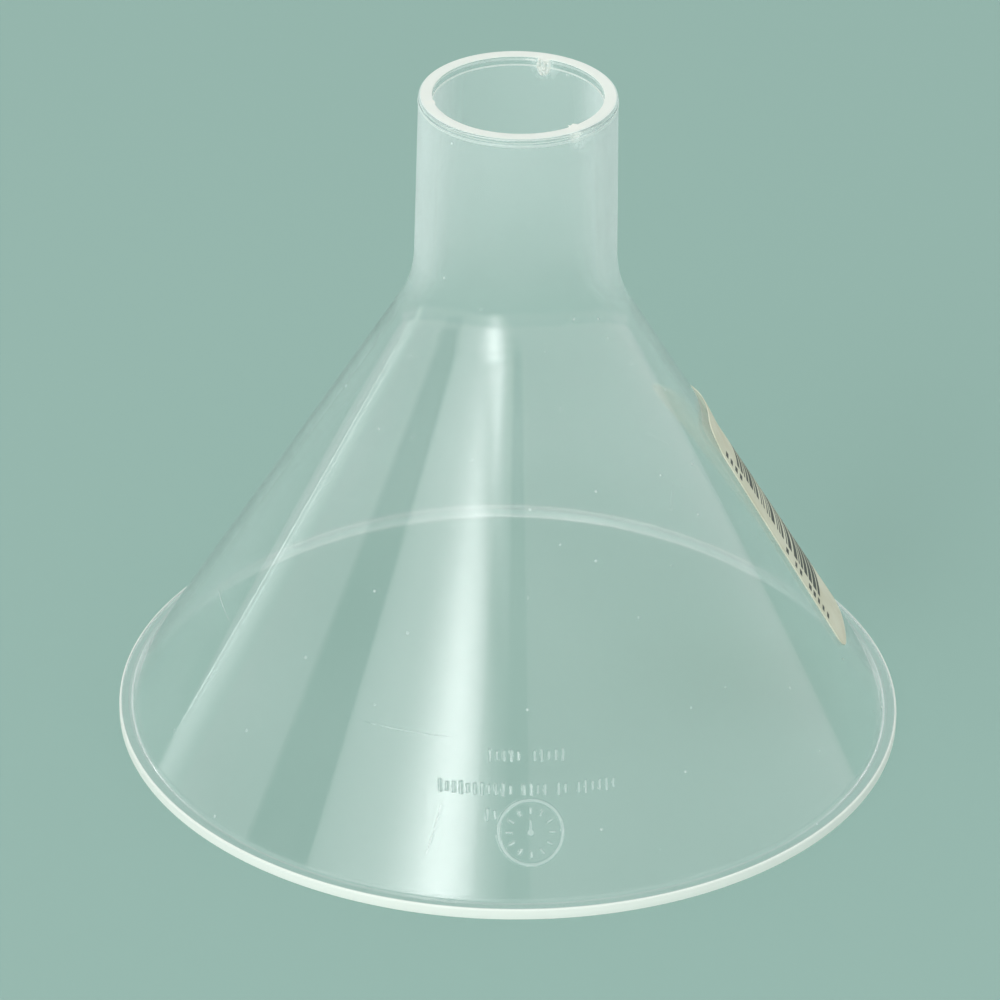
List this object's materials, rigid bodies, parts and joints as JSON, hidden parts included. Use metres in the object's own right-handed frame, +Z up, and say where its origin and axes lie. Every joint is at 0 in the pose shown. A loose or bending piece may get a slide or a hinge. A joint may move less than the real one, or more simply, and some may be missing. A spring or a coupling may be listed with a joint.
{
  "type": "powder funnel",
  "caption": "Translucent plastic powder funnel with a wide short stem, a flanged rim and a plain paper label, standing on its rim.",
  "frame": {"origin": "centre of the rim's flat underside, which the funnel stands on", "axes": "+Z up the funnel's axis from the rim to the tip of the stem; +X to the side that the label is on; +Y away from the side that has the moulded marks"},
  "size_m": [0.12, 0.12, 0.1054],
  "materials": {
    "clear_plastic": "natural translucent polypropylene, glossy, fine turned lines on the cone",
    "adhesive": "pressure-sensitive acrylic film",
    "paper": null
  },
  "bodies": {
    "root": {"funnel_body": "clear_plastic", "label_adhesive": "adhesive", "label_paper": "paper"}
  },
  "joints": []
}
